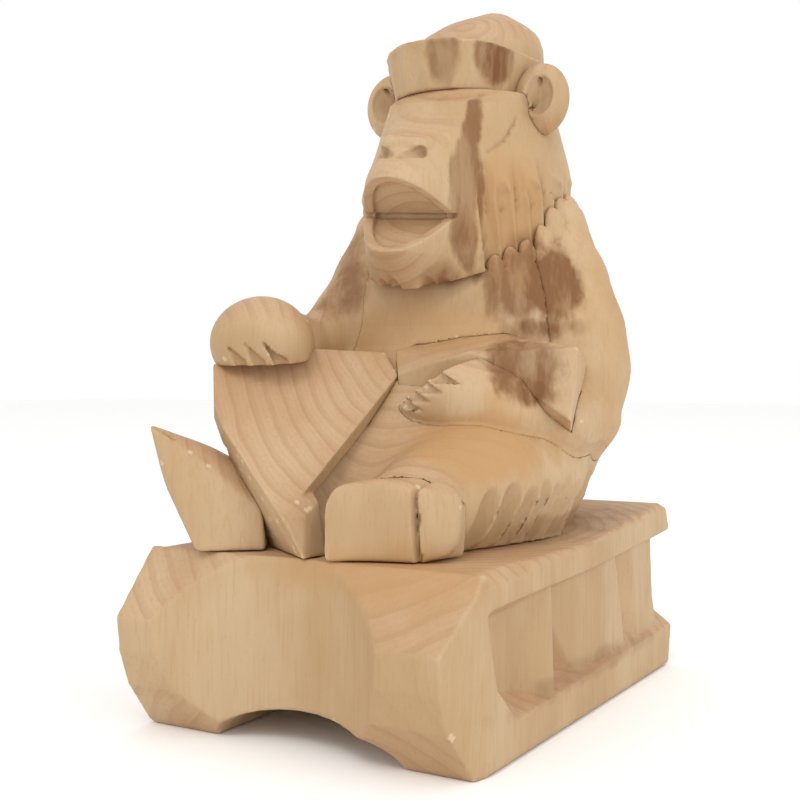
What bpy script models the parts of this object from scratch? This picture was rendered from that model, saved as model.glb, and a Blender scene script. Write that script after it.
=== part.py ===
"""Carved wooden bear in a cap, sitting on a chunky sled and holding an open sheet book.

Run with: blender --background --python part.py

The bear faces -Y and its left side is +X. Every size below is in millimetres, measured from the
sled: x = 0 on its centre plane, y = 0 half way along the runners' soles, z = 0 on the floor. The last
step scales the figure to metres and centres it, so that its origin is the middle of its footprint.
"""

import math

import bmesh
import bpy
from mathutils import Matrix, Vector

MM = 0.001
GAP = 0.3  # clearance between two pieces that touch
WELD = 0.002  # corners this close after a cut are one corner
SIDES = 24  # points round a carved mass

# Sled
SLED_HALF_WIDTH = 37.0
SLED_FRONT, SLED_BACK = -60.0, 52.0
DECK_HEIGHT, DECK_BACK_HEIGHT = 35.0, 39.0
SLAB_THICKNESS = 6.5
RUNNER_HEIGHT = 10.0
RECESS_DEPTH = 4.0
ARCH_HALF_WIDTH, ARCH_HEIGHT = 20.0, 6.5

# Bear
NECK_POINT, NECK_PITCH = Vector((0, -10, 92)), math.radians(19)
CAP_SEAT = 130.5
EAR_RADIUS, EAR_THICKNESS = 7.0, 6.0
LEAF_THICKNESS = 4.5

# Dowels
DOWEL_RADIUS = 3.0
SMALL_DOWEL_RADIUS = 2.0

LIME = (0.72, 0.52, 0.33)
BEECH = (0.62, 0.42, 0.26)


def material(name, colour, roughness):
    made = bpy.data.materials.new(name)
    made.use_nodes = True
    shader = made.node_tree.nodes["Principled BSDF"]
    shader.inputs["Base Color"].default_value = (*colour, 1.0)
    shader.inputs["Roughness"].default_value = roughness
    shader.inputs["Metallic"].default_value = 0.0
    return made


def add_object(name, mesh):
    made = bpy.data.objects.new(name, mesh)
    bpy.context.scene.collection.objects.link(made)
    return made


def add_bmesh(name, shape):
    """The object of a closed bmesh, with its faces turned out."""
    bmesh.ops.recalc_face_normals(shape, faces=shape.faces)
    mesh = bpy.data.meshes.new(name)
    shape.to_mesh(mesh)
    shape.free()
    return add_object(name, mesh)


def hull(name, points):
    """The convex solid round a few corner points: one flat chisel cut for each face."""
    shape = bmesh.new()
    for point in points:
        shape.verts.new(point)
    bmesh.ops.convex_hull(shape, input=shape.verts)
    loose = [vert for vert in shape.verts if not vert.link_faces]
    bmesh.ops.delete(shape, geom=loose, context="VERTS")
    return add_bmesh(name, shape)


def prism(name, outline, span):
    """An outline of (y, z) points pushed along X."""
    start, end = span
    shape = bmesh.new()
    face = shape.faces.new([shape.verts.new((start, y, z)) for y, z in outline])
    pushed = bmesh.ops.extrude_face_region(shape, geom=[face])["geom"]
    moved = [item for item in pushed if isinstance(item, bmesh.types.BMVert)]
    bmesh.ops.translate(shape, verts=moved, vec=Vector((end - start, 0, 0)))
    return add_bmesh(name, shape)


def slab(name, corners, thickness):
    """A flat board: its top face runs through the corners, and it is as thick as stated below them."""
    normal = (corners[1] - corners[0]).cross(corners[-1] - corners[0]).normalized()
    if normal.z < 0:
        normal = -normal
    return hull(name, [*corners, *(corner - thickness * normal for corner in corners)])


def loft(name, stations, sides=SIDES):
    """A solid through oval rings. A station is (centre, half width, half depth).

    The rings stand square to the line through their centres, with their width kept level.
    """
    centres = [Vector(station[0]) for station in stations]
    shape = bmesh.new()
    rings = []
    across = Vector((1, 0, 0))
    for i, (_, half_width, half_depth) in enumerate(stations):
        along = (centres[min(i + 1, len(centres) - 1)] - centres[max(i - 1, 0)]).normalized()
        level = Vector((0, 0, 1)).cross(along) if abs(along.z) < 0.93 else Vector((1, 0, 0))
        if level.dot(across) < 0:
            level = -level
        across = (level - level.dot(along) * along).normalized()
        up = along.cross(across)
        ring = []
        for k in range(sides):
            angle = 2 * math.pi * k / sides
            offset = half_width * math.cos(angle) * across + half_depth * math.sin(angle) * up
            ring.append(shape.verts.new(centres[i] + offset))
        rings.append(ring)
    for low, high in zip(rings, rings[1:]):
        for k in range(sides):
            after = (k + 1) % sides
            shape.faces.new((low[k], low[after], high[after], high[k]))
    shape.faces.new(rings[0])
    shape.faces.new(rings[-1])
    bmesh.ops.triangulate(shape, faces=shape.faces)
    return add_bmesh(name, shape)


def dowel(name, start, end, radius):
    """A round pin with flat ends."""
    start, end = Vector(start), Vector(end)
    shape = bmesh.new()
    bmesh.ops.create_cone(
        shape, cap_ends=True, segments=16, radius1=radius, radius2=radius, depth=(end - start).length
    )
    turn = Vector((0, 0, 1)).rotation_difference(end - start).to_matrix().to_4x4()
    bmesh.ops.transform(shape, matrix=Matrix.Translation((start + end) / 2) @ turn, verts=shape.verts)
    return add_bmesh(name, shape)


def grown(piece, amount=GAP):
    """A helper copy of a piece, larger all round by the clearance."""
    copy = add_object(piece.name + "_grown", piece.data.copy())
    for vert in copy.data.vertices:
        vert.co += amount * vert.normal
    return as_helper(copy)


def as_helper(piece):
    piece.hide_render = True
    piece.display_type = "WIRE"
    return piece


def combine(piece, other, operation):
    """Applies one Boolean of a helper to a piece."""
    step = piece.modifiers.new(operation.lower(), "BOOLEAN")
    step.operation = operation
    step.solver = "MANIFOLD"  # both are closed, and the exact solver drops some shallow crossings
    step.object = as_helper(other)
    graph = bpy.context.evaluated_depsgraph_get()
    shape = bmesh.new()
    shape.from_object(piece, graph)
    bmesh.ops.remove_doubles(shape, verts=shape.verts, dist=WELD)
    bmesh.ops.dissolve_degenerate(shape, edges=shape.edges, dist=WELD)
    piece.modifiers.clear()
    shape.to_mesh(piece.data)
    shape.free()
    bpy.data.objects.remove(other)


def joined(piece, *others):
    for other in others:
        combine(piece, other, "UNION")
    return piece


def cut(piece, *cutters):
    for cutter in cutters:
        combine(piece, cutter, "DIFFERENCE")
    return piece


def box(low, high):
    (x0, y0, z0), (x1, y1, z1) = low, high
    return hull("box", [(x, y, z) for x in (x0, x1) for y in (y0, y1) for z in (z0, z1)])


def keep_largest(piece):
    """Drops the loose chips that a cut leaves behind."""
    shape = bmesh.new()
    shape.from_mesh(piece.data)
    left = set(shape.verts)
    islands = []
    while left:
        stack = [left.pop()]
        island = []
        while stack:
            vert = stack.pop()
            island.append(vert)
            for edge in vert.link_edges:
                other = edge.other_vert(vert)
                if other in left:
                    left.remove(other)
                    stack.append(other)
        islands.append(island)
    islands.sort(key=len)
    for island in islands[:-1]:
        bmesh.ops.delete(shape, geom=island, context="VERTS")
    shape.to_mesh(piece.data)
    shape.free()
    return piece


def make_sled():
    """A chunky sled cut from one block: two curved-up runners, a deck slab and recessed side panels."""
    profile = [
        (SLED_FRONT + 8.5, 0),
        (SLED_FRONT, 22),
        (-50.5, DECK_HEIGHT),
        (0, DECK_HEIGHT),
        (47, DECK_BACK_HEIGHT),
        (SLED_BACK - 2, 32),
        (SLED_BACK, 12),
        (SLED_BACK - 2.5, 0),
    ]
    sled = prism("sled_base", profile, (-SLED_HALF_WIDTH, SLED_HALF_WIDTH))
    scoop = loft("scoop", [((-1, -78, -2), 32, 29), ((-3, -78, 50), 32, 28)], 32)
    arch = loft(
        "arch",
        [((1, -70, 0), ARCH_HALF_WIDTH, ARCH_HEIGHT), ((1, 70, 0), ARCH_HALF_WIDTH, ARCH_HEIGHT)],
    )
    cut(sled, scoop, arch)
    for side in (-1, 1):
        inner = side * (SLED_HALF_WIDTH - RECESS_DEPTH)
        outer = side * (SLED_HALF_WIDTH + 5)
        bottom = RUNNER_HEIGHT - 1.5
        top = DECK_HEIGHT - SLAB_THICKNESS
        recess = [
            (-47, 25),
            (-42, 14),
            (-34, bottom),
            (SLED_BACK + 5, bottom + 2),
            (SLED_BACK + 5, top + 3.5),
            (0, top),
            (-47, top - 1),
        ]
        cut(sled, prism("recess", recess, (inner, outer)))
        ledge = SLED_HALF_WIDTH - 1.2
        strut = [
            (inner - side, y, z)
            for y, z in ((-29, top + 1), (-3, top + 1), (-24, bottom - 1), (-2, bottom - 1))
        ]
        arris = [(side * ledge, y, z) for y, z in ((-15, top + 1), (-14, bottom - 1))]
        post = [
            (x, y, z)
            for x in (inner - side, side * (ledge - 0.8))
            for y, z in ((31, top + 2), (39, top + 2), (32, bottom), (44, bottom))
        ]
        joined(sled, hull("strut", strut + arris), hull("post", post))
    return sled


def make_torso():
    """Seat, belly and chest, with both thighs running forward over the deck."""
    torso = loft(
        "bear_body",
        [
            ((0, 9, 34), 25, 33),
            ((0, 9, 44), 30.5, 36),
            ((0, 10, 57), 33.5, 33),
            ((0, 12.5, 67), 34, 27),
            ((0, 15, 76), 33, 22.5),
            ((0, 15, 86), 30.5, 21.5),
            ((0, 16, 97), 27, 20),
            ((0, 17, 108), 23.5, 18),
        ],
    )
    left_thigh = loft(
        "left_thigh",
        [
            ((14, 6, 48), 15, 14),
            ((15, -14, 48), 14, 14),
            ((14.5, -32, 44), 11, 11),
            ((13.5, -40, 41.5), 8, 6.5),
        ],
    )
    right_thigh = loft(
        "right_thigh",
        [
            ((-14, 6, 48), 15, 14),
            ((-16, -16, 50), 14, 14),
            ((-18, -34, 47), 10, 11),
            ((-18.5, -42, 45), 8, 9),
        ],
    )
    lap = hull(
        "lap",
        [(x, y, z) for x in (-11, 11) for y, z in ((5, 34), (-36, 34), (-36, 44), (-8, 64), (5, 66))],
    )
    return joined(torso, left_thigh, right_thigh, lap)


def make_head():
    """Skull, cheeks and an open muzzle."""
    head = loft(
        "bear_head",
        [
            ((0, 13, 86), 20, 17),
            ((0, 14, 95), 24, 21),
            ((0, 14.5, 106), 25.5, 22),
            ((0, 15, 117), 22.5, 22),
            ((0, 16, 127), 18.5, 21),
            ((0, 17, 135), 15, 17),
        ],
    )
    upper_jaw = loft(
        "upper_jaw",
        [
            ((0, 4, 115), 15, 13),
            ((0, -7, 114), 12, 11),
            ((0, -14, 112), 10.5, 7.5),
            ((0, -20, 109.5), 9, 4),
            ((0, -24.5, 107.5), 5.5, 1.8),
        ],
        20,
    )
    lower_jaw = loft(
        "lower_jaw",
        [((0, 4, 99), 14, 9), ((0, -9, 97.5), 11, 7), ((0, -17, 96.5), 9, 3.6), ((0, -22, 96.5), 6, 2)],
        20,
    )
    mouth = hull(
        "mouth",
        [
            *((x, -12, 103.5) for x in (-8, 8)),
            *((x, -30, 107) for x in (-12, 12)),
            *((x, -30, 97.5) for x in (-12, 12)),
        ],
    )
    nose_profile = ((-17, 117.5), (-19, 116), (-18, 112.5), (-12, 119), (-12, 112))
    nose = hull("nose", [(x, y, z) for x in (-4, 4) for y, z in nose_profile])
    joined(head, upper_jaw, lower_jaw)
    cut(head, mouth)
    return joined(head, nose)


def neck_block(name, low, high):
    """All that lies between two heights over the sloping plane on which the head sits."""
    slope = math.tan(NECK_PITCH)
    corners = [(x, y) for x in (-60, 60) for y in (-60, 60)]
    return hull(
        name,
        [(x, y, NECK_POINT.z + (y - NECK_POINT.y) * slope + step) for x, y in corners for step in (low, high)],
    )


def make_cap():
    """A thick brim that runs to a point in front, and a crown that rises to the back."""
    plan = [(0, -15.5), (10, 0.5), (17.5, 13), (19.5, 23), (16, 34), (8, 40)]
    plan += [(-x, y) for x, y in reversed(plan) if x]
    brim = hull(
        "cap",
        [
            *((0.88 * x, 0.88 * (y - 12) + 13, CAP_SEAT + GAP + 0.4) for x, y in plan),
            *((x, y, CAP_SEAT + 8 + y * 0.09) for x, y in plan),
        ],
    )
    crown = loft(
        "crown",
        [
            ((0, 18, CAP_SEAT + 5), 15, 21),
            ((0, 20, CAP_SEAT + 11), 14, 19),
            ((0, 23, CAP_SEAT + 17), 11.5, 13.5),
            ((0, 25, CAP_SEAT + 21.5), 7, 8),
            ((0, 26, CAP_SEAT + 23.5), 3, 4),
        ],
    )
    under = box((-60, -60, CAP_SEAT - 20), (60, 90, CAP_SEAT + GAP))
    return joined(brim, cut(crown, under))


def make_ear(name, side, centre):
    """A thick round ear with a hollow that opens forward."""
    centre = Vector(centre)
    facing = Vector((side * 0.25, -1, -0.05)).normalized()
    half = EAR_THICKNESS / 2
    ear = loft(
        name,
        [
            (centre - half * facing, EAR_RADIUS - 1.5, EAR_RADIUS - 1.5),
            (centre, EAR_RADIUS, EAR_RADIUS),
            (centre + half * facing, EAR_RADIUS - 1, EAR_RADIUS - 1),
        ],
        20,
    )
    mouth = centre + side * Vector((1, 0, 0))
    hollow = loft("hollow", [(mouth, 1.5, 1.5), (mouth + (half + 1.5) * facing, 5, 5)], 12)
    return cut(ear, hollow)


def make_left_arm():
    """Upper arm down the side, forearm forward over the thigh, paw flat under the sheet."""
    return loft(
        "left_arm",
        [
            ((23, 18, 99), 7, 9),
            ((26.5, 17, 88), 8.5, 10.5),
            ((29, 14, 74), 8, 10.5),
            ((30, 7, 61), 7.5, 9),
            ((26, -4, 58), 7, 7.5),
            ((19, -13, 62), 6, 6.5),
            ((12, -19, 66), 4, 7),
            ((5.5, -20.5, 67.5), 2, 5.5),
        ],
        18,
    )


def make_right_arm():
    """Upper arm down the side, elbow behind the sheet, paw laid over its corner."""
    return loft(
        "right_arm",
        [
            ((-17.5, 15.5, 104.5), 6, 8),
            ((-20.5, 12, 97), 8, 9.5),
            ((-24.5, 5.5, 87), 8, 9.5),
            ((-28, -3, 77.5), 7, 8),
            ((-30, -14, 74), 6.5, 6.5),
            ((-29.5, -23, 76), 7.5, 6.5),
            ((-28, -31, 78), 9.5, 7),
            ((-26.5, -36.5, 74.5), 8.5, 3.5),
        ],
        18,
    )


def make_left_foot():
    """A block-shaped foot lying on its side, with its sole to the front."""
    return hull(
        "left_foot",
        [
            (5.5, -52.5, 34),
            (23.5, -41.5, 34),
            (24.5, -33, 34),
            (9, -42, 34),
            (5.5, -51.5, 48.5),
            (22, -41.5, 50),
            (25, -38.5, 47),
            (25, -33, 45),
            (9, -41, 50),
            (22, -34, 50),
        ],
    )


def make_right_foot():
    """A long foot that stands on its heel and leans out, with the toes up."""
    return hull(
        "right_foot",
        [
            (-12.5, -45.5, 34),
            (-23, -54, 34),
            (-28, -45.5, 34),
            (-17, -38, 34),
            (-13.5, -45, 43),
            (-20, -38.5, 50),
            (-32, -55, 57),
            (-33.5, -55.5, 60),
            (-41, -46, 58.5),
            (-40.5, -45, 54),
            (-31, -39.5, 55),
            (-33, -52, 48),
        ],
    )


def make_right_leaf():
    """The leaf on the bear's right side: a pointed board that reaches down to the deck."""
    top = [
        Vector((-33.3, -35.8, 71.7)),
        Vector((-27.9, -42.2, 63.7)),
        Vector((-3.9, -51.6, 42.3)),
        Vector((-3.9, -46.4, 46.3)),
        Vector((-1.6, -13.6, 69.4)),
        Vector((-6.5, -10.8, 74.4)),
        Vector((-19.9, -20.4, 75.2)),
    ]
    leaf = slab("right_leaf", top, LEAF_THICKNESS)
    tip = hull(
        "leaf_tip",
        [
            (0.5, -51.5, 34),
            (-1, -44, 34),
            (-6, -45, 34),
            (-4, -51, 41.5),
            (2.5, -49.5, 45),
            (-4.5, -45, 46),
            (-9, -47, 46),
            (-2, -40, 48),
        ],
    )
    return joined(leaf, tip)


def make_left_leaf():
    """The leaf on the bear's left side: three cuts that hump over the paw and fall to the elbow."""
    lower = [(-1.2, -14.2, 69.5), (9, -14.5, 73.5), (16, -13, 73.8), (36, -9, 60.5)]
    upper = [(-1.2, -8, 75.5), (8, -4, 78.5), (14, -2, 79), (36, -6, 75)]
    down = Vector((0, 2.5, -LEAF_THICKNESS - 1))
    strips = []
    for i in range(len(lower) - 1):
        corners = [Vector(point) for point in (lower[i], lower[i + 1], upper[i + 1], upper[i])]
        strips.append(hull("left_leaf", [*corners, *(corner + down for corner in corners)]))
    return joined(*strips)


def make_dowels():
    """Glued pins. Each runs from one piece into the next, half in each."""
    neck = Vector((0, 14, NECK_POINT.z + (14 - NECK_POINT.y) * math.tan(NECK_PITCH)))
    lean = Vector((0, -math.sin(NECK_PITCH), math.cos(NECK_PITCH)))
    page = Vector((0.43, -0.54, 0.72)).normalized()
    page_point = Vector((-13, -29, 58.5))
    return {
        "base_dowel_front": dowel("base_dowel_front", (0, -8, 23), (0, -8, 47), DOWEL_RADIUS),
        "base_dowel_back": dowel("base_dowel_back", (0, 22, 23), (0, 22, 48), DOWEL_RADIUS),
        "neck_dowel": dowel("neck_dowel", neck - 11 * lean, neck + 11 * lean, DOWEL_RADIUS + 1),
        "cap_dowel": dowel("cap_dowel", (0, 18, CAP_SEAT - 9), (0, 18, CAP_SEAT + 10), DOWEL_RADIUS),
        "left_arm_dowel": dowel("left_arm_dowel", (11, 16, 86), (29, 16, 86), DOWEL_RADIUS),
        "right_arm_dowel": dowel("right_arm_dowel", (-9, 9, 90), (-27, 7, 89), DOWEL_RADIUS),
        "left_foot_dowel": dowel("left_foot_dowel", (14, -29, 42), (15, -43.5, 42), SMALL_DOWEL_RADIUS),
        "right_foot_dowel": dowel("right_foot_dowel", (-18, -31, 43), (-20, -45, 43), SMALL_DOWEL_RADIUS),
        "leaf_dowel": dowel("leaf_dowel", page_point - 9 * page, page_point, SMALL_DOWEL_RADIUS),
    }


def build():
    """Makes every piece, fits them to each other with a clearance, and returns them by name."""
    sled, torso, head, cap = make_sled(), make_torso(), make_head(), make_cap()
    left_ear = make_ear("left_ear", 1, (20.5, 12, 129))
    right_ear = make_ear("right_ear", -1, (-18.5, 12, 132))
    left_arm, right_arm = make_left_arm(), make_right_arm()
    left_foot, right_foot = make_left_foot(), make_right_foot()
    right_leaf, left_leaf = make_right_leaf(), make_left_leaf()
    dowels = make_dowels()

    cut(torso, neck_block("above_neck", -GAP, 60), grown(sled))
    for piece in (left_arm, right_arm, left_foot, right_foot, right_leaf, left_leaf):
        cut(torso, grown(piece))
    keep_largest(torso)
    cut(head, neck_block("below_neck", 0, -60), box((-60, -60, CAP_SEAT), (60, 90, 200)))
    cut(head, grown(left_ear), grown(right_ear))
    for arm, leaf in ((left_arm, left_leaf), (right_arm, right_leaf)):
        cut(arm, neck_block("above_neck", -GAP, 60), grown(leaf))
        keep_largest(arm)
    for foot in (left_foot, right_foot):
        cut(foot, grown(sled), grown(right_leaf))
    cut(left_leaf, grown(right_leaf))
    cut(right_leaf, grown(sled))
    cut(left_ear, grown(cap))
    cut(right_ear, grown(cap))

    sockets = {
        "base_dowel_front": (sled, torso),
        "base_dowel_back": (sled, torso),
        "neck_dowel": (torso, head),
        "cap_dowel": (head, cap),
        "left_arm_dowel": (torso, left_arm),
        "right_arm_dowel": (torso, right_arm),
        "left_foot_dowel": (torso, left_foot),
        "right_foot_dowel": (torso, right_foot),
        "leaf_dowel": (torso, right_leaf),
    }
    for name, pieces in sockets.items():
        for piece in pieces:
            cut(piece, grown(dowels[name]))

    carved = [sled, torso, head, cap, left_ear, right_ear, left_arm, right_arm]
    carved += [left_foot, right_foot, right_leaf, left_leaf]
    return carved, list(dowels.values())


def finish(pieces, colour, roughness):
    """Gives each piece its own material and shading."""
    for piece in pieces:
        piece.data.materials.clear()
        piece.data.materials.append(material(piece.name + "_wood", colour, roughness))
        piece.data.shade_smooth()
        piece.data.set_sharp_from_angle(angle=math.radians(28))


def centre_on_origin(pieces):
    """Turns the millimetres into metres, with the origin at the middle of the footprint."""
    points = [vert.co for piece in pieces for vert in piece.data.vertices]
    low = Vector([min(point[i] for point in points) for i in range(3)])
    high = Vector([max(point[i] for point in points) for i in range(3)])
    middle = Vector(((low.x + high.x) / 2, (low.y + high.y) / 2, low.z))
    for piece in pieces:
        piece.data.transform(Matrix.Scale(MM, 4) @ Matrix.Translation(-middle))


def main():
    for old in list(bpy.data.objects):
        bpy.data.objects.remove(old)
    carved, dowels = build()
    finish(carved, LIME, 0.62)
    finish(dowels, BEECH, 0.55)
    centre_on_origin(carved + dowels)


main()
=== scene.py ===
"""Looks of the carved bear on a sled: each piece is carved out of distance fields, in bare lime wood.

Shapes are given in millimetres from the sled: x = 0 on its centre plane (+X is the bear's left), y = 0 half
way along the runners' soles (the bear faces -Y) and z = 0 on the floor. OFFSET carries them to the frame.
"""

import math

import bmesh
import bpy
import numpy as np
from mathutils import Matrix, Vector


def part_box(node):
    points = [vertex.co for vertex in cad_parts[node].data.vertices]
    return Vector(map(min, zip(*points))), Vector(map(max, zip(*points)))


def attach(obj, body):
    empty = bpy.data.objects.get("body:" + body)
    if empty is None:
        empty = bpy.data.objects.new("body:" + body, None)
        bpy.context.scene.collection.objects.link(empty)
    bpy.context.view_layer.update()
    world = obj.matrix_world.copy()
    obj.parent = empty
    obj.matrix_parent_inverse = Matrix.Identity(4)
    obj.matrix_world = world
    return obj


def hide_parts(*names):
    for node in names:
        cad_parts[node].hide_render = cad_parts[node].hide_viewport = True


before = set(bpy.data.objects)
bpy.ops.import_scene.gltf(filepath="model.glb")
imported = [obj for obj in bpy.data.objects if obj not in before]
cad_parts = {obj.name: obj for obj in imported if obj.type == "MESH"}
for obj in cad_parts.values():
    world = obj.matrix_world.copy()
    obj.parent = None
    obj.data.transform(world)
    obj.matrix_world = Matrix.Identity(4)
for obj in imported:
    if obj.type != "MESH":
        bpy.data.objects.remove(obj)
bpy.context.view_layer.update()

MM = 0.001
GRID_STEP = 0.45  # of the bear; every piece shares one lattice
SLED_STEP = max(GRID_STEP, 0.6)
FAR = 40.0
SEAM = 0.02  # half the hairline joint between two glued pieces
MOST_TRIANGLES = 190_000  # of one piece
CORNER_PULL = 0.12  # holds a mesh corner back towards its cell's middle
CORNER_REACH = 0.6  # the furthest that it may move from there, in cells

sled_low, sled_high = (np.array(corner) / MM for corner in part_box("sled_base"))
OFFSET = np.array([(sled_low[0] + sled_high[0]) / 2, (sled_low[1] + sled_high[1]) / 2 + 4.0, sled_low[2]])


# ---------------------------------------------------------------- distance fields


class Shape:
    """A closed form: the box it lies in, and its distance (negative inside) at points x, y, z."""

    def __init__(self, low, high, distance):
        self.low = np.array(low, float)
        self.high = np.array(high, float)
        self.distance = distance


def blend_min(a, b, width):
    if width <= 0:
        return np.minimum(a, b)
    h = np.maximum(width - np.abs(a - b), 0) / width
    return np.minimum(a, b) - h * h * (width / 4)


def blend_max(a, b, width):
    return -blend_min(-a, -b, width)


def ball(centre, radii):
    """An ellipsoid."""
    c, r = np.array(centre, float), np.array(radii, float)

    def distance(x, y, z):
        k0 = np.sqrt(((x - c[0]) / r[0]) ** 2 + ((y - c[1]) / r[1]) ** 2 + ((z - c[2]) / r[2]) ** 2)
        k1 = np.sqrt(
            ((x - c[0]) / r[0] ** 2) ** 2 + ((y - c[1]) / r[1] ** 2) ** 2 + ((z - c[2]) / r[2] ** 2) ** 2
        )
        return k0 * (k0 - 1) / np.maximum(k1, 1e-6)

    return Shape(c - r, c + r, distance)


def rod(start, end, start_radius, end_radius=None):
    """A round bar with ball ends, tapering from one radius to the other."""
    end_radius = start_radius if end_radius is None else end_radius
    a, b = np.array(start, float), np.array(end, float)
    along = b - a
    length2 = float(along @ along)

    def distance(x, y, z):
        t = ((x - a[0]) * along[0] + (y - a[1]) * along[1] + (z - a[2]) * along[2]) / length2
        t = np.clip(t, 0, 1)
        dx, dy, dz = x - a[0] - t * along[0], y - a[1] - t * along[1], z - a[2] - t * along[2]
        return np.sqrt(dx * dx + dy * dy + dz * dz) - (start_radius + (end_radius - start_radius) * t)

    reach = max(start_radius, end_radius)
    return Shape(np.minimum(a, b) - reach, np.maximum(a, b) + reach, distance)


def tube(sections, axis=2, power=2.0, ease=2.5):
    """A mass given by ovals across an axis. A section is (station, centre, centre, half size, half size)."""
    table = np.array(sections, float)
    stations = table[:, 0]
    sides = [k for k in range(3) if k != axis]

    def read(at, column):
        # Averaging neighbours rounds the corners that straight interpolation leaves.
        total = sum(np.interp(at + shift, stations, table[:, column]) for shift in (-ease, 0, 0, ease))
        return total / 4

    def distance(x, y, z):
        point = (x, y, z)
        at = np.asarray(point[axis], float)
        ca, cb, a, b = (read(at, column) for column in (1, 2, 3, 4))
        u, v = np.abs(point[sides[0]] - ca), np.abs(point[sides[1]] - cb)
        k0 = ((u / a) ** power + (v / b) ** power) ** (1 / power)
        # The first-order distance: the level of the oval over its slope.
        slope = np.sqrt((u / a**2) ** 2 + (v / b**2) ** 2) / np.maximum(k0, 1e-4)
        side = (k0 - 1) / np.maximum(slope, 1e-3)
        side = np.minimum(np.maximum(side, -np.minimum(a, b)), FAR)
        return np.maximum(side, np.maximum(stations[0] - at, at - stations[-1]))

    low, high = np.zeros(3), np.zeros(3)
    low[axis], high[axis] = stations[0], stations[-1]
    for side, column in zip(sides, (1, 2)):
        low[side] = (table[:, column] - table[:, column + 2]).min()
        high[side] = (table[:, column] + table[:, column + 2]).max()
    return Shape(low, high, distance)


def block(points, rounding=0.0):
    """The convex solid round its corner points, one flat cut for each face."""
    shape = bmesh.new()
    for point in points:
        shape.verts.new(point)
    bmesh.ops.convex_hull(shape, input=shape.verts)
    shape.normal_update()
    middle = Vector(np.mean(np.array(points, float), axis=0))
    cuts = {}
    for face in shape.faces:
        normal = face.normal if face.normal.dot(face.verts[0].co - middle) > 0 else -face.normal
        reach = normal.dot(face.verts[0].co)
        cuts[tuple(round(value, 3) for value in (*normal, reach))] = (*normal, reach)
    shape.free()

    def distance(x, y, z):
        far = None
        for nx, ny, nz, reach in cuts.values():
            plane = nx * x + ny * y + nz * z - reach
            far = plane if far is None else blend_max(far, plane, rounding)
        return far

    corners = np.array(points, float)
    return Shape(corners.min(axis=0), corners.max(axis=0), distance)


def squashed(shape, centre, direction, factor):
    """The shape pressed flatter by a factor, towards a point and along a direction."""
    c = np.array(centre, float)
    n = np.array(direction, float) / np.linalg.norm(direction)

    def distance(x, y, z):
        more = (factor - 1) * ((x - c[0]) * n[0] + (y - c[1]) * n[1] + (z - c[2]) * n[2])
        return shape.distance(x + more * n[0], y + more * n[1], z + more * n[2]) / math.sqrt(factor)

    return Shape(shape.low, shape.high, distance)


def turned(shape, centre, axis, degrees):
    """The shape turned about an axis through a point."""
    turn = np.array(Matrix.Rotation(math.radians(degrees), 3, Vector(axis)))
    c = np.array(centre, float)

    def distance(x, y, z):
        p = (x - c[0], y - c[1], z - c[2])
        back = [sum(turn[i, k] * p[i] for i in range(3)) + c[k] for k in range(3)]
        return shape.distance(*back)

    corners = np.array(list(np.ndindex(2, 2, 2))) * (shape.high - shape.low) + shape.low
    corners = (corners - c) @ turn.T + c
    return Shape(corners.min(axis=0), corners.max(axis=0), distance)


def union(*shapes, width=0.0):
    def distance(x, y, z):
        near = shapes[0].distance(x, y, z)
        for shape in shapes[1:]:
            near = blend_min(near, shape.distance(x, y, z), width)
        return near

    low = np.min([shape.low for shape in shapes], axis=0) - width / 4
    high = np.max([shape.high for shape in shapes], axis=0) + width / 4
    return Shape(low, high, distance)


def chain(points, width=3.0):
    """Tapering bars through (point, radius) stations."""
    bars = [rod(a, b, ra, rb) for (a, ra), (b, rb) in zip(points, points[1:])]
    return union(*bars, width=width)


def half_space(point, normal):
    """Everything on the far side of a plane from its normal."""
    p = np.array(point, float)
    n = np.array(normal, float) / np.linalg.norm(normal)

    def distance(x, y, z):
        return (x - p[0]) * n[0] + (y - p[1]) * n[1] + (z - p[2]) * n[2]

    return Shape((-200, -200, -200), (200, 200, 200), distance)


def grown(shape, amount):
    return Shape(shape.low - amount, shape.high + amount, lambda x, y, z: shape.distance(x, y, z) - amount)


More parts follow.
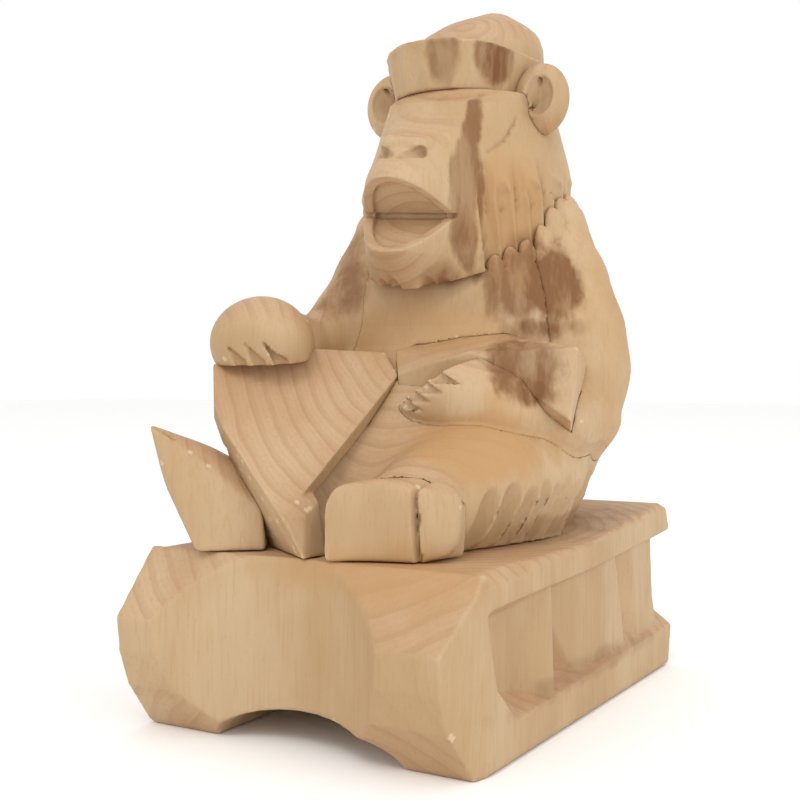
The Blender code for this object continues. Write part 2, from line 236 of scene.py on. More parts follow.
class Clay:
    """A solid being carved: its distance field on a regular grid."""

    def __init__(self, low, high, step=GRID_STEP):
        self.step = step
        self.origin = np.floor(np.array(low, float) / self.step).astype(int)
        self.low = self.origin * self.step
        self.count = np.ceil((np.array(high, float) - self.low) / self.step).astype(int) + 1
        self.field = np.full(self.count, FAR, np.float32)

    def copy(self):
        twin = Clay(self.low, self.low, self.step)
        twin.origin, twin.low, twin.count = self.origin, self.low, self.count
        twin.field = self.field.copy()
        return twin

    def window(self, shape, margin):
        start = np.floor((shape.low - margin - self.low) / self.step).astype(int)
        stop = np.ceil((shape.high + margin - self.low) / self.step).astype(int) + 1
        start, stop = np.clip(start, 0, self.count), np.clip(stop, 0, self.count)
        axes = [
            (self.low[i] + self.step * np.arange(start[i], stop[i])).astype(np.float32) for i in range(3)
        ]
        where = tuple(slice(a, b) for a, b in zip(start, stop))
        return where, (axes[0][:, None, None], axes[1][None, :, None], axes[2][None, None, :])

    def shared(self, other):
        """The parts of both grids that lie over each other."""
        low = np.maximum(self.origin, other.origin)
        high = np.minimum(self.origin + self.count, other.origin + other.count)
        mine = tuple(slice(a, b) for a, b in zip(low - self.origin, high - self.origin))
        theirs = tuple(slice(a, b) for a, b in zip(low - other.origin, high - other.origin))
        return mine, theirs

    def add(self, shape, width=0.0):
        where, at = self.window(shape, width + 3)
        if self.field[where].size:
            more = shape.distance(*at).astype(np.float32)
            self.field[where] = blend_min(self.field[where], more, width)
        return self

    def cut(self, shape, width=0.0):
        where, at = self.window(shape, width + 1)
        if self.field[where].size:
            taken = -shape.distance(*at).astype(np.float32)
            self.field[where] = blend_max(self.field[where], taken, width)
        return self

    def keep(self, shape, width=0.0):
        _, at = self.window(Shape(self.low, self.low + self.step * self.count, None), 0)
        self.field = blend_max(self.field, shape.distance(*at).astype(np.float32), width)
        return self

    def join(self, other, width=0.0):
        mine, theirs = self.shared(other)
        self.field[mine] = blend_min(self.field[mine], other.field[theirs], width)
        return self

    def leave_out(self, other, gap=2 * SEAM, width=0.0):
        """Takes away another clay's solid and a hairline round it."""
        mine, theirs = self.shared(other)
        self.field[mine] = blend_max(self.field[mine], gap - other.field[theirs], width)
        return self

    def only_in(self, other, reach=0.0):
        """Keeps what lies inside another clay's solid, or within reach of it."""
        mine, theirs = self.shared(other)
        kept = np.full(self.count, FAR, np.float32)
        kept[mine] = np.maximum(self.field[mine], other.field[theirs] - reach)
        self.field = kept
        return self

    def grow(self, amount):
        twin = self.copy()
        twin.field -= amount
        return twin

    def value(self, points):
        """The field at points, read between the grid's own."""
        at = (np.asarray(points, float) - self.low) / self.step
        at = np.clip(at, 0, np.array(self.count) - 1.001)
        base = at.astype(int)
        part = at - base
        total = np.zeros(len(at))
        for corner in np.ndindex(2, 2, 2):
            weight = np.prod(np.where(corner, part, 1 - part), axis=1)
            i, j, k = (base + corner).T
            total += weight * self.field[i, j, k]
        return total

    def touch(self, origin, direction, reach=80.0):
        """Where a line from outside first meets the surface, and the surface's outward direction there."""
        direction = np.array(direction, float) / np.linalg.norm(direction)
        steps = np.arange(0, reach, self.step / 2)
        line = np.array(origin, float) + steps[:, None] * direction
        inside = np.nonzero(self.value(line) < 0)[0]
        if not len(inside):
            return None
        hit = line[inside[0]]
        nudges = np.concatenate([hit + np.eye(3), hit - np.eye(3)])
        values = self.value(nudges)
        normal = values[:3] - values[3:]
        return hit, normal / np.linalg.norm(normal)

    def mesh(self, name):
        """The surface as a mesh with one corner for each grid cell that it crosses."""
        field = self.field
        inside = field < 0
        _, ny, nz = (int(n) for n in self.count)
        slopes = [np.gradient(field, axis=axis) for axis in range(3)]
        points, normals, cells, quads = [], [], [], []
        for axis in range(3):
            a = [slice(None)] * 3
            b = [slice(None)] * 3
            a[axis], b[axis] = slice(0, -1), slice(1, None)
            at = np.argwhere(inside[tuple(a)] != inside[tuple(b)])
            ahead = at.copy()
            ahead[:, axis] += 1
            first, second = field[tuple(at.T)], field[tuple(ahead.T)]
            share = first / (first - second)
            crossing = at.astype(float)
            crossing[:, axis] += share
            normal = np.stack(
                [slope[tuple(at.T)] * (1 - share) + slope[tuple(ahead.T)] * share for slope in slopes], axis=1
            )
            normal /= np.maximum(np.linalg.norm(normal, axis=1), 1e-6)[:, None]
            others = [k for k in range(3) if k != axis]
            ring = []
            for u, v in ((0, 0), (1, 0), (1, 1), (0, 1)):
                cell = at.copy()
                cell[:, others[0]] -= u
                cell[:, others[1]] -= v
                ring.append((cell[:, 0] * ny + cell[:, 1]) * nz + cell[:, 2])
                points.append(crossing)
                normals.append(normal)
                cells.append(ring[-1])
            # The quad round an edge faces from its solid end to its empty one.
            flip = (first < 0) == (axis == 1)
            ring = np.stack(ring, axis=1)
            ring[flip] = ring[flip][:, ::-1]
            quads.append(ring)
        used, index = np.unique(np.concatenate(cells), return_inverse=True)
        corners = self.corners(np.concatenate(points), np.concatenate(normals), index, len(used))
        quads = np.searchsorted(used, np.concatenate(quads))
        corners = (corners * self.step + self.low + OFFSET) * MM
        mesh = bpy.data.meshes.new(name)
        mesh.from_pydata([], [], [])
        mesh.vertices.add(len(corners))
        mesh.vertices.foreach_set("co", corners.astype(np.float32).ravel())
        mesh.loops.add(quads.size)
        mesh.loops.foreach_set("vertex_index", quads.astype(np.int32).ravel())
        mesh.polygons.add(len(quads))
        mesh.polygons.foreach_set("loop_start", np.arange(0, quads.size, 4, dtype=np.int32))
        mesh.update(calc_edges=True)
        mesh.validate()
        mesh.shade_smooth()
        return mesh

    @staticmethod
    def corners(points, normals, index, count):
        """For each cell, the point nearest to the tangent planes where the surface crosses its edges."""

        def gather(values):
            return np.bincount(index, values, count)

        share = gather(np.ones(len(index)))
        middle = np.stack([gather(points[:, k]) for k in range(3)], axis=1) / share[:, None]
        reach = np.einsum("ij,ij->i", points - middle[index], normals)
        square = np.empty((count, 3, 3))
        pull = np.empty((count, 3))
        for i in range(3):
            pull[:, i] = gather(reach * normals[:, i])
            for k in range(3):
                square[:, i, k] = gather(normals[:, i] * normals[:, k]) + (CORNER_PULL if i == k else 0)
        move = np.linalg.solve(square, pull[:, :, None])[:, :, 0]
        return middle + np.clip(move, -CORNER_REACH, CORNER_REACH)


# ---------------------------------------------------------------- the sled

HALF_WIDTH = 37.0
SLED_PROFILE_FRONT = ((-51.0, 0), (-57.5, 9), (-60, 16), (-60.6, 22.6), (-50.5, 35), (1, 35), (1, 0))
SLED_PROFILE_BACK = ((-1, 0), (-1, 35), (47, 39), (50, 32), (52, 12), (49.5, 0))
RECESS_FRONT = (
    ((-50, 28.5), (-46, 14), (-37, 6.2), (1, 7.2), (1, 30.6), (-47, 29.6)),
    ((-44.5, 25.5), (-40.5, 14.5), (-33, 10.5), (1, 11.4), (1, 27), (-44.5, 25.5)),
)
RECESS_BACK = (
    ((-1, 7.1), (57, 8.4), (57, 34), (-1, 30.5)),
    ((-1, 11.3), (57, 12.7), (57, 30.3), (-1, 26.9)),
)


def across(profile, x0, x1):
    """(y, z) corners carried across the sled from x0 to x1."""
    return [(x, y, z) for x in (x0, x1) for y, z in profile]


def sled_clay():
    clay = Clay((-40, -64, -3), (40, 55, 43), SLED_STEP)
    clay.add(block(across(SLED_PROFILE_FRONT, -HALF_WIDTH, HALF_WIDTH)))
    clay.add(block(across(SLED_PROFILE_BACK, -HALF_WIDTH, HALF_WIDTH)), 0.5)
    for side in (-1, 1):
        for outer, inner in (RECESS_FRONT, RECESS_BACK):
            clay.cut(block(across(outer, side * 38.6, side * 38.5) + across(inner, side * 32.2, side * 32.3)))
        # A slanting strut, a raised panel and the back post stand in the recess as flat facets.
        for base, ridge, height in (
            (((-34, 29.5), (-30.5, 7.5), (-19, 29.5), (-8.6, 7.5)),
             ((-21.5, 29.5), (-21, 7.5), (-20.2, 29.5), (-18.6, 7.5)), 36.3),
            (((-20, 29.5), (-8.6, 7.5), (24, 30), (30, 8)),
             ((-4.5, 29.5), (-3.9, 7.5), (17.5, 30), (24, 8)), 35.2),
            (((20, 31), (26, 8), (40, 31.5), (48, 8)), ((27, 31), (33, 8), (36, 31.5), (46, 8)), 35.4),
        ):
            foot = across(base, side * 31, side * 31.5)
            clay.add(block(foot + across(ridge, side * height, side * height - 0.1)))
        # The runner head's outer corner is taken off by two passes of the knife.
        if side > 0:
            clay.cut(half_space((35.8, -60.5, 23), (-0.75, 0.62, 0.0)), 0.2)
            clay.cut(half_space((36.9, -51.5, 23), (-0.95, 0.3, 0.06)), 0.2)
        # The deck's edge is broken by hand, so its bevel wanders.
        for y, depth in ((-40, 1.3), (-24, 0.9), (-9, 1.5), (6, 1.1), (22, 1.6), (38, 1.2)):
            bevel = half_space((side * HALF_WIDTH, y, 36.2 + 0.06 * y - depth), (-side * 1.0, 0, -0.9))
            part = block(across(((y - 9, 28), (y - 9, 44), (y + 9, 28), (y + 9, 44)), side * 30, side * 40))
            clay.cut(meeting(bevel, part), 0.6)
        clay.cut(half_space((side * HALF_WIDTH, 0, 0.7), (-side * 1.0, 0, 1.0)), 0.3)
    scoop = tube(((-4, -2.6, -78, 29.5, 27.6), (12, -3.2, -78, 30.4, 27.2), (22, -3.6, -78, 32, 27.6),
                  (40, -3.8, -78, 33.5, 28.4)))
    clay.cut(scoop, 0.4)
    clay.cut(tube(((-70, 1, 0, 20.5, 6.8), (60, 1, 0, 19.5, 6.3)), axis=1), 0.8)
    # Upright passes of a wide gouge left the scoop and the heads slightly faceted.
    for angle in range(-66, 67, 11):
        turn = math.radians(angle)
        flat = (-3.2 + 31.2 * math.sin(turn), -78 + 27.5 * math.cos(turn), 0)
        away = np.array((math.sin(turn), math.cos(turn), 0))
        middle = np.array(flat) - (16 - 0.35) * away
        clay.cut(rod(middle + (0, 0, -5), middle + (0, 0, 45), 16), 0.3)
    return clay


def meeting(*shapes):
    """What lies inside all the shapes."""

    def distance(x, y, z):
        near = shapes[0].distance(x, y, z)
        for shape in shapes[1:]:
            near = np.maximum(near, shape.distance(x, y, z))
        return near

    low = np.max([shape.low for shape in shapes], axis=0)
    high = np.min([shape.high for shape in shapes], axis=0)
    return Shape(low, high, distance)


# ---------------------------------------------------------------- the bear

DECK = 35.25  # height of the sled's deck, with a hairline
CAP_SEAT = 131.1  # height at which the cap sits on the head
HINGE = 103.3  # height of the line in which the mouth's roof and floor meet
AXIS_Y = 14  # the upright axis that surface cuts aim at lies at x = 0 and this y

TORSO = (
    (33.5, 0, 9, 24.5, 33),
    (38, 0, 9, 27, 34.5),
    (45, 0, 9, 31, 36),
    (57, 0, 10, 33, 33),
    (67, 0, 12.5, 32.5, 27),
    (76, 0, 15, 31, 22.5),
    (86, 0, 15, 28.5, 21.5),
    (97, 0, 16, 25, 20),
    (112, 0, 17, 22, 18),
)
NECK_AT, NECK_NORMAL = (0, -8, 89.2), (0, -0.42, 0.907)
HEAD_ROLL = 4.5
HEAD_PIVOT = (0, 0, 105)


def along_surface(clay, stations, radius, depths, aim=None):
    """A hollow cut through points found on the surface by looking at it from each station."""
    hits = []
    depths = np.linspace(*depths, len(stations))
    for (x, y, z), depth in zip(stations, depths):
        found = clay.touch((x, y, z), (-x, AXIS_Y - y, 0) if aim is None else aim)
        if found is None:
            return
        hits.append(found[0] + (radius - depth) * found[1])
    for start, end in zip(hits, hits[1:]):
        clay.cut(rod(start, end, radius), 0.3)


def notch(clay, mouth, tip, radius):
    """A short V-shaped nick, widest at its mouth. Both ends are (x, z) as seen from in front."""
    ends = [clay.touch((x, -75, z), (0, 1, 0)) for x, z in (mouth, tip)]
    if all(ends):
        clay.cut(rod(ends[0][0], ends[1][0], radius, 0.15), 0.1)


def round_axis(angle, reach, z):
    """A point at an angle round the figure: 0 is in front, 90 on its left side."""
    turn = math.radians(angle)
    return (reach * math.sin(turn), AXIS_Y - reach * math.cos(turn), z)


def body_clay():
    clay = Clay((-42, -50, 33), (42, 54, 122))
    clay.add(tube(TORSO, ease=4))
    clay.add(tube(((-41.5, 13.4, 42, 8.4, 7.8), (-37, 14, 43, 9, 8.8), (-28, 15, 45, 11.5, 11),
                   (-16, 16.5, 47, 15, 13.5), (4, 16, 47, 17, 16)), axis=1), 6)
    clay.add(tube(((-41, -18.3, 46, 8.8, 9.2), (-34, -18, 47, 10, 11), (-16, -16, 49, 14, 14),
                   (6, -14, 48, 15, 14)), axis=1), 6)
    # The lap is one mass with the belly, and the book lies on it.
    clay.add(block(((-26, -30, 36), (-8, -44, 36), (14, -36, 36), (-26, -8, 36), (20, 0, 36), (-27, -20, 60),
                    (-27, -6, 66), (-6, -38, 42), (4, -28, 52), (2, -14, 61), (22, -6, 56)), 2), 5)
    clay.keep(half_space((0, 0, DECK), (0, 0, -1)))
    # Slanting gouge strokes run under the thighs and the rump, from the fold down to the deck.
    for side in (-1, 1):
        for step in range(24):
            angle = 34 + 5.8 * step
            high = round_axis(side * angle, 70, 46.5 + 0.9 * (step % 2))
            low = round_axis(side * (angle - 7), 70, 36.3)
            along_surface(clay, (high, low), 2.6, (0.3, 1.1))
    return clay


def shoulder_clays():
    """The upper arms, which grow out of the body."""
    left = Clay((0, -20, 44), (46, 36, 114))
    left.add(chain((((20, 17, 102), 8), ((24.5, 16, 90), 8.2), ((28, 15, 79), 8.6), ((30, 13.5, 70), 8.4),
                    ((30, 13, 61), 7.8)), 5))
    right = Clay((-44, -24, 60), (0, 34, 114))
    right.add(chain((((-20.5, 12, 102), 7), ((-23, 8.5, 92), 6.9), ((-25, 3, 84), 6.5),
                     ((-27, -7, 76.5), 6.4)), 4))
    return left, right


def left_forearm_clay():
    clay = Clay((-6, -34, 46), (46, 30, 84))
    clay.add(chain((((30, 13, 61), 7.8), ((26.5, 3, 60), 8.6), ((19, -8, 62), 9), ((11.5, -14, 65.4), 7.8),
                    ((6.5, -15.6, 65.8), 6)), 5))
    # The fingers end in a line along the book's edge, with short cuts between them.
    clay.cut(half_space((0.8, -15, 62.2), (0.53, 0, -0.85)), 0.4)
    for x, z in ((4.2, 63.6), (6.6, 65.2), (9.4, 67), (12.4, 68.8)):
        notch(clay, (x, z), (x + 4.6, z - 1.4), 1.35)
    return clay


def right_paw_clay():
    clay = Clay((-44, -46, 60), (-8, 6, 92))
    clay.add(chain((((-27, -7, 76.5), 6.4), ((-27.5, -19, 75.5), 7.2), ((-27, -26, 76.5), 8.4)), 4))
    clay.add(ball((-26, -29, 76.2), (11.3, 9.6, 9.6)), 3)
    clay.cut(half_space((-24, -37.0, 74), (-0.2, 1, 0.18)), 0.8)
    clay.cut(half_space((-22, -36, 71.2), (0.02, -0.12, 1)), 0.3)
    for x, z, lean in ((-27.8, 75.2, 2.4), (-24, 75.8, 2.7), (-20, 76.2, 2.5), (-16.4, 76.8, 2.3)):
        notch(clay, (x + lean, 71.6), (x, z), 1.4)
    return clay


RIGHT_PAGE = (
    (-33.3, -35.8, 71.7),
    (-27.9, -42.2, 63.7),
    (-23.5, -45, 59),
    (-14.1, -48.2, 51),
    (-3.9, -51.6, 42.3),
    (-3.9, -46.4, 46.3),
    (-1.6, -13.6, 69.4),
    (-6.5, -10.8, 74.4),
    (-19.9, -20.4, 75.2),
)
PAGE_NORMAL = np.array((0.43, -0.54, 0.72)) / np.linalg.norm((0.43, -0.54, 0.72))
PAGE_TIP = (
    (-27.9, -42.2, 63.7), (-14.1, -48.2, 51), (-3.9, -51.6, 42.3), (-3.9, -46.4, 46.3), (-1.4, -48, 42.8),
    (-1.2, -44, 45), (0.4, -51.2, DECK), (1, -44.5, DECK), (-18.6, -37.5, DECK), (-23.5, -41, 48.6),
    (-10, -34, 46), (-16, -32, 54),
)


def right_leaf_clay():
    clay = Clay((-38, -56, 33), (6, 4, 82))
    under = [tuple(np.array(point) - 4.5 * PAGE_NORMAL) for point in RIGHT_PAGE]
    clay.add(block(list(RIGHT_PAGE) + under))
    clay.add(block(PAGE_TIP), 0.2)
    clay.keep(half_space((0, 0, DECK), (0, 0, -1)))
    return clay


def left_leaf_clay():
    clay = Clay((-12, -22, 52), (44, 14, 86))
    clay.add(block(((-1.2, -14.2, 69.5), (9, -14.8, 72.4), (15, -13.6, 74), (19.3, -12.8, 72.9),
                    (-4.5, -9.5, 74.8), (-1.2, -8, 75.6), (8, -4, 78.5), (14, -2, 79), (-4, -2, 64),
                    (14, 4, 70), (-1.2, -13.2, 60), (15, -8, 66))))
    clay.add(block(((15, -13.6, 74), (19.3, -12.8, 72.9), (35.8, -9.4, 60.3), (36.3, -7.6, 67.5),
                    (36, -6, 74.8), (14, -2, 79), (14, -6, 66), (33, -2, 57), (34, 4, 72), (14, 6, 72))), 0.2)
    return clay


LEFT_FOOT = (
    (5, -52.3, DECK), (21.5, -45.4, DECK), (24.5, -33, DECK), (9, -42, DECK), (4.6, -51.8, 46),
    (6.4, -50, 48.8), (19.6, -44.8, 48.6), (25, -33, 45), (9, -41, 50), (19, -40, 50.4), (13, -46.8, 50.2),
    (15, -31, 48),
)
TOE_BLOCK = (
    (20.4, -46.2, DECK), (25.2, -40.2, 35.8), (25.6, -36, 38), (20, -45, 49), (22, -39, 50.3),
    (26.6, -38.6, 47.8), (27.4, -39.4, 44.5), (27.2, -40, 39), (22, -34, 49), (20, -36, DECK), (25.5, -34, 44),
)
RIGHT_FOOT = (
    (-12.5, -45.5, DECK), (-23, -54, DECK), (-28, -45.5, DECK), (-17, -38, DECK), (-13.5, -45, 43),
    (-20, -38.5, 50), (-32, -55, 57), (-33.5, -55.5, 60), (-41, -46, 58.5), (-40.5, -45, 54),
    (-31, -39.5, 55), (-33, -52, 48),
)


def left_foot_clay():
    clay = Clay((0, -58, 33), (34, -24, 56))
    clay.add(block(LEFT_FOOT, 0.8))
    clay.add(block(TOE_BLOCK, 1.2), 0.3)
    # The sole is a shallow hollow, and a deep cut sets the toes off from it.
    clay.cut(rod((24.4, -75.6, 30), (24.4, -75.6, 56), 30), 1.0)
    clay.cut(block(((20.2, -49.5, 34), (23.6, -47.4, 34), (20.9, -43.4, 34), (18.2, -49, 53),
                    (21.8, -46.6, 53), (19.3, -42.6, 53))), 0.15)
    for x, low in ((24.3, 42.5), (26.3, 39.5), (28.2, 38)):
        along_surface(clay, ((x + 24.6, -88, 50), (x + 25, -88, low)), 1.7, (0.9, 0.5), (-0.5, 0.86, 0))
    return clay


def right_foot_clay():
    clay = Clay((-46, -60, 33), (-8, -30, 66))
    clay.add(block(RIGHT_FOOT, 1.0))
    # Short cuts over the tip part the toes.
    for share in (0.15, 0.38, 0.62, 0.85):
        tip = np.array((-32.6, -56.4, 60.6)) * (1 - share) + np.array((-41.6, -46.2, 59.6)) * share
        clay.cut(rod(tip, tip + (5, 3.4, -5.5), 0.7, 0.3), 0.2)
    return clay


def in_head(shape):
    """The head is carved with a slight roll, its right side higher."""
    return turned(shape, HEAD_PIVOT, (0, 1, 0), HEAD_ROLL)


def muzzle():
    """A blunt cone that holds the nose and both lips."""
    return tube(((86, 0, 2, 9, 11), (91, 0, 0, 10.2, 15.5), (95, 0, -2, 11.2, 18.4), (103, 0, -2, 12.2, 20.8),
                 (110, 0, -2, 11.8, 20.4), (115, 0, -1, 11.6, 17.6), (119.5, 0, 0, 11, 14.6),
                 (126, 0, 3, 11, 8.5)), ease=1.6)


def mouth_notch(roof, floor):
    """The space between a flat roof and a flat floor that meet in the line of the mouth's corners."""
    return block([(x, y, z) for x in (-16, 16) for y, z in (
        (-11 + roof, HINGE), (-34, HINGE + 13.6 + roof), (-34, HINGE - 21.6 - floor))])


def head_clay():
    clay = Clay((-34, -32, 80), (34, 44, 134))
    skull = tube(((82, 0, 13, 18, 17), (93, 0, 14, 24.6, 21.5), (104, 0, 14.5, 26.2, 22.5),
                  (113, 0, 15, 24.5, 22.2), (121, 0, 15.5, 21.4, 21.6), (128, 0, 16, 18.5, 21),
                  (138, 0, 17, 15, 17)), ease=3)
    clay.add(in_head(union(skull, muzzle(), width=9)))
    # The open mouth is a notch, and inside its rims the roof and the floor are hollowed out.
    clay.cut(in_head(mouth_notch(0, 0)), 0.12)
    clay.cut(in_head(meeting(grown(muzzle(), -2.1), mouth_notch(1.5, 1.9))), 0.3)
    clay.cut(in_head(rod((-15, -11.4, HINGE), (15, -11.4, HINGE), 0.55)))
    clay.cut(in_head(meeting(grown(muzzle(), -2.1), rod((-15, -10, HINGE), (15, -10, HINGE), 0.65))))
    # Under the lower lip the chin steps back.
    clay.cut(in_head(rod((-9, -22.5, 92.2), (9, -22.5, 92.2), 3.2)), 1.0)
    # A raised arch for the nose, undercut by two nostrils.
    nose = squashed(rod((-3.0, -14.0, 117.6), (3.4, -14.0, 117.2), 3.1), (0, 0, 117.4), (0, 0, 1), 1.25)
    clay.add(in_head(nose), 0.4)
    for side in (-1, 1):
        clay.cut(in_head(rod((side * 1.5, -18.6, 115.0), (side * 4.6, -16.4, 115.6), 1.0, 1.4)), 0.3)
        # A closed eye is one long shallow crease.
        eye = ((16, -6, 116.5), (16, 1, 119.3), (16, 7.4, 125))
        in_front = [(side * (x + 30), y - 51.6, z) for x, y, z in eye]
        along_surface(clay, in_front, 0.4, (0.25, 0.3), (-side * 0.5, 0.86, 0))
        # The cheek's hair is a fan of hollows that swing back as they go down.
        for step in range(15):
            angle = 36 + 8.8 * step
            high = round_axis(side * angle, 60, 116 + 0.4 * step - (6 if step % 2 else 0))
            middle = round_axis(side * (angle + 3 + 0.5 * step), 60, 106 + 0.6 * step)
            low = round_axis(side * (angle + 9 + 1.1 * step), 60, 93 + 0.9 * step)
            along_surface(clay, (high, middle, low), 2.7, (-0.3, 3.2))
            # The knife's stop cut leaves a dark line beside each lock.
            crease = [(x + side * 0.5, y, z - 2) for x, y, z in (high, middle, low)]
            along_surface(clay, crease, 0.45, (0.0, 0.55))
    # The throat's hair ends in points over the chest.
    clay.cut(half_space(NECK_AT, NECK_NORMAL))
    for step in range(26):
        angle = -165 + 13.2 * step + (3 if step % 2 else -2)
        x, y, _ = round_axis(angle, 24.5, 0)
        z = 89.2 - 0.463 * (-8 - y)
        inward = np.array(round_axis(angle, 4, z)) - np.array((x, y, z))
        outer = np.array((x, y, z)) - 0.35 * inward
        clay.cut(rod(outer + (0, 0, 0.6), outer + 0.75 * inward + (0, 0, -2.6), 3.0, 0.8), 0.15)
    clay.cut(half_space((0, 0, 131), (0, 0, -1)))
    return clay


BRIM_TOP = ((-2.8, -8.6), (1.6, -8.8), (7.6, -7.6), (13.5, -2.4), (17, 7.7), (18.6, 16), (18, 30), (8, 38),
            (-8, 38), (-18, 30), (-18.6, 17), (-16.5, 7), (-12, -1.5), (-7.4, -6.2))
BRIM_FOOT = ((-4, -5), (1.8, -5.7), (7, -4.2), (11.2, -0.4), (14.6, 6), (15.6, 14), (15, 29), (6, 36),
             (-6, 36), (-15, 29), (-15.6, 14), (-13.5, 6), (-9.5, -1.5))


def cap_clay():
    clay = Clay((-24, -20, 128), (26, 46, 160))
    brim = [(x, y, 140.6 - 0.05 * y) for x, y in BRIM_TOP] + [(x, y, CAP_SEAT) for x, y in BRIM_FOOT]
    clay.add(block(brim, 0.5))
    # The brim's front is pared in narrow upright hollows.
    for step in range(11):
        high, low = (round_axis(-50 + 15 * step, 50, z) for z in (138.6, 132))
        along_surface(clay, (high, low), 9, (0.35, 0.25))
    crown = tube(((130, -1, 17.3, 15, 21), (138, -0.6, 17.3, 15.4, 21.6), (144, 0.5, 20.3, 14.2, 19.8),
                  (149, 1, 24.3, 11.8, 15.6), (152.7, 1, 27.3, 8, 11), (155.3, 1, 28.8, 1.5, 2)), ease=2.5)
    clay.add(crown, 0.6)
    clay.keep(half_space((0, 0, CAP_SEAT), (0, 0, -1)))
    return clay


def ear_clay(centre, side):
    c = np.array(centre, float)
    clay = Clay(c - 12, c + 12)
    clay.add(squashed(ball(c, (7.0, 7.0, 7.9)), c, (side * 0.2, 1, 0), 1.7))
    # A leaf-shaped hollow with a crease down its middle.
    clay.cut(ball(c + (side * 0.9, -5.5, 0.4), (4.0, 3.8, 5.2)), 0.3)
    clay.cut(rod(c + (side * 1.2, -2.2, 4.2), c + (-side * 1.6, -2.0, -4.2), 0.5), 0.2)
    return clay


DOWELS = (
    ((0, -8, 23), (0, -8, 47), 3),
    ((0, 22, 23), (0, 22, 48), 3),
    ((0, 10.4, 89.9), (0, 17.6, 110.7), 4),
    ((0, 18, 121.5), (0, 18, 140.5), 3),
    ((11, 16, 86), (29, 16, 86), 3),
    ((-9, 9, 90), (-27, 7, 89), 3),
    ((14, -29, 42), (15, -43.5, 42), 2),
    ((-18, -31, 43), (-20, -45, 43), 2),
    ((-13, -29, 58.5), (-16.9, -24.1, 52), 2),
)


def model():
    """Every carved piece's clay, by the name of the CAD node that it stands for."""
    sled = sled_clay()
    body, head, cap = body_clay(), head_clay(), cap_clay()
    left_shoulder, right_shoulder = shoulder_clays()
    left_fore, right_paw = left_forearm_clay(), right_paw_clay()
    left_foot, right_foot = left_foot_clay(), right_foot_clay()
    left_leaf, right_leaf = left_leaf_clay(), right_leaf_clay()
    left_ear = ear_clay((20.3, 11, 129.8), 1)
    right_ear = ear_clay((-16.0, 10, 132.0), -1)
    # Shoulders melt into the body and forearms lie on it; each arm is what lies within its own outline.
    body.join(left_shoulder, 6).join(right_shoulder, 6)
    body.join(left_fore, 0.5).join(right_paw, 1.5)
    pelt(body)
    arms = []
    for shoulder, fore in ((left_shoulder, left_fore), (right_shoulder, right_paw)):
        region = Clay((-46, -50, 40), (46, 40, 116))
        region.join(shoulder.grow(2.5)).join(fore.grow(0.4))
        arms.append(body.copy().only_in(region))
        body.leave_out(region)
    left_arm, right_arm = arms
    body.cut(half_space(np.array(NECK_AT) + (0, 0, 4), tuple(-value for value in NECK_NORMAL)))
    left_leaf.leave_out(right_leaf)
    for piece in (left_leaf, right_leaf):
        body.leave_out(piece)
        left_arm.leave_out(piece)
        right_arm.leave_out(piece)
    for arm in (left_arm, right_arm):
        arm.leave_out(head, width=2.2)
    body.leave_out(head, width=2.2)
    for foot in (left_foot, right_foot):
        foot.leave_out(right_leaf)
        body.leave_out(foot)
    for ear in (left_ear, right_ear):
        ear.leave_out(head).leave_out(cap)
    clays = {
        "sled_base": sled, "bear_body": body, "bear_head": head, "cap": cap,
        "left_ear": left_ear, "right_ear": right_ear, "left_arm": left_arm, "right_arm": right_arm,
        "left_foot": left_foot, "right_foot": right_foot, "left_leaf": left_leaf, "right_leaf": right_leaf,
    }
    for clay in clays.values():
        for start, end, radius in DOWELS:
            clay.cut(rod(start, end, radius + 0.1))
    return clays


def pelt(clay):
    """Rows of gouge strokes down the back and the sides stand for fur."""
    random = np.random.default_rng(7)
    for row, z in enumerate((104, 95, 86, 77, 68, 59, 51)):
        for step in range(15):
            angle = 96 + 12.4 * step + 6 * (row % 2) + random.uniform(-2, 2)
            high = round_axis(angle, 66, z + random.uniform(1, 3))
            low = round_axis(angle + random.uniform(-3, 3), 66, z - random.uniform(5, 7))
            along_surface(clay, (high, low), random.uniform(3.2, 4.4), (0.3, random.uniform(0.8, 1.2)))


# ---------------------------------------------------------------- wood


